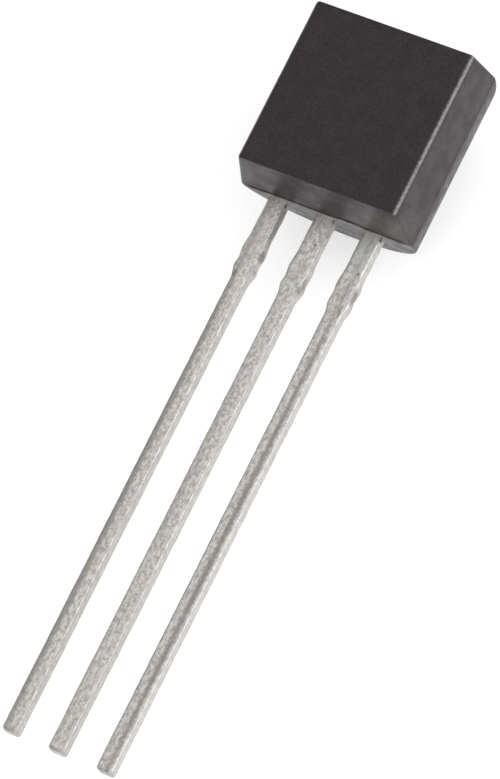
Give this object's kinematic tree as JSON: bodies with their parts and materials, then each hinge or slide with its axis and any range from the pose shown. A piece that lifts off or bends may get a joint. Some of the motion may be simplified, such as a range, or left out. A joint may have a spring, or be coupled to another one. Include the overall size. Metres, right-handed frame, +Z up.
{
  "type": "to-92 transistor",
  "caption": "Through-hole transistor: a small moulded body with a flat face and a round back, and straight tinned leads in a row. It switches or amplifies a small current.",
  "frame": {"origin": "on the surface that it lies on, below the middle of the whole part's box", "axes": "+Z up; the leads run towards -Y and lean 7.5 degrees down to their tips; the flat face looks up along +Z, leaning 7.5 degrees towards -Y; +X is across the leads, to the right when the flat face is up and the leads point at the viewer"},
  "size_m": [0.0046, 0.0186, 0.0042],
  "materials": {
    "moulding": "matte",
    "tinned_lead": "satin",
    "silicon": "polished",
    "silver_adhesive": "matte",
    "bond_wire": "polished"
  },
  "bodies": {
    "root": {"moulded_body": "moulding", "collector_lead": "tinned_lead", "emitter_lead": "tinned_lead", "base_lead": "tinned_lead", "die": "silicon", "die_attach": "silver_adhesive", "emitter_wire": "bond_wire", "base_wire": "bond_wire"}
  },
  "joints": []
}
